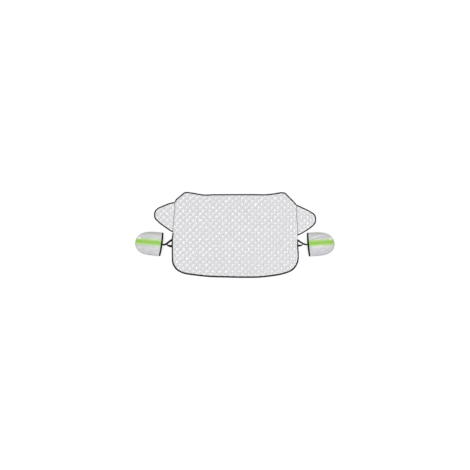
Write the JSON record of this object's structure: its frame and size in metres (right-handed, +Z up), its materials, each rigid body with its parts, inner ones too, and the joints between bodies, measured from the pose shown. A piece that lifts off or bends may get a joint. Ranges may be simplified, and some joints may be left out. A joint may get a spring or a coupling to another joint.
{
  "type": "windshield frost cover",
  "caption": "Quilted cover that lies over a car's windshield against frost, with door flaps to shut in the doors and elasticated covers for the door mirrors.",
  "frame": {"origin": "on the ground plane, on the underside of the main panel below its middle", "axes": "+X to the right as seen from above, along the cover's width; +Y towards the panel's top edge, the roof side; +Z up, out of the quilted outer face"},
  "size_m": [2.3058, 0.9944, 0.0472],
  "materials": {
    "quilted_cloth": "soft silver sheen, diamond quilting",
    "binding_tape": "matt woven tape, stitched",
    "silver_taffeta": "coated taffeta with a silver sheen, wrinkled",
    "reflective_tape": "glossy reflective tape",
    "elastic": "matt ribbed elastic"
  },
  "bodies": {
    "root": {"main_panel": "quilted_cloth", "left_door_flap": "quilted_cloth", "right_door_flap": "quilted_cloth", "top_edge_binding": "binding_tape", "bottom_edge_binding": "binding_tape", "left_flap_binding": "binding_tape", "right_flap_binding": "binding_tape", "left_mirror_cover_back": "silver_taffeta", "left_mirror_cover_front": "silver_taffeta", "left_mirror_stripe": "reflective_tape", "left_mirror_hem": "elastic", "left_upper_strap": "elastic", "left_lower_strap": "elastic", "right_mirror_cover_back": "silver_taffeta", "right_mirror_cover_front": "silver_taffeta", "right_mirror_stripe": "reflective_tape", "right_mirror_hem": "elastic", "right_upper_strap": "elastic", "right_lower_strap": "elastic"}
  },
  "joints": []
}
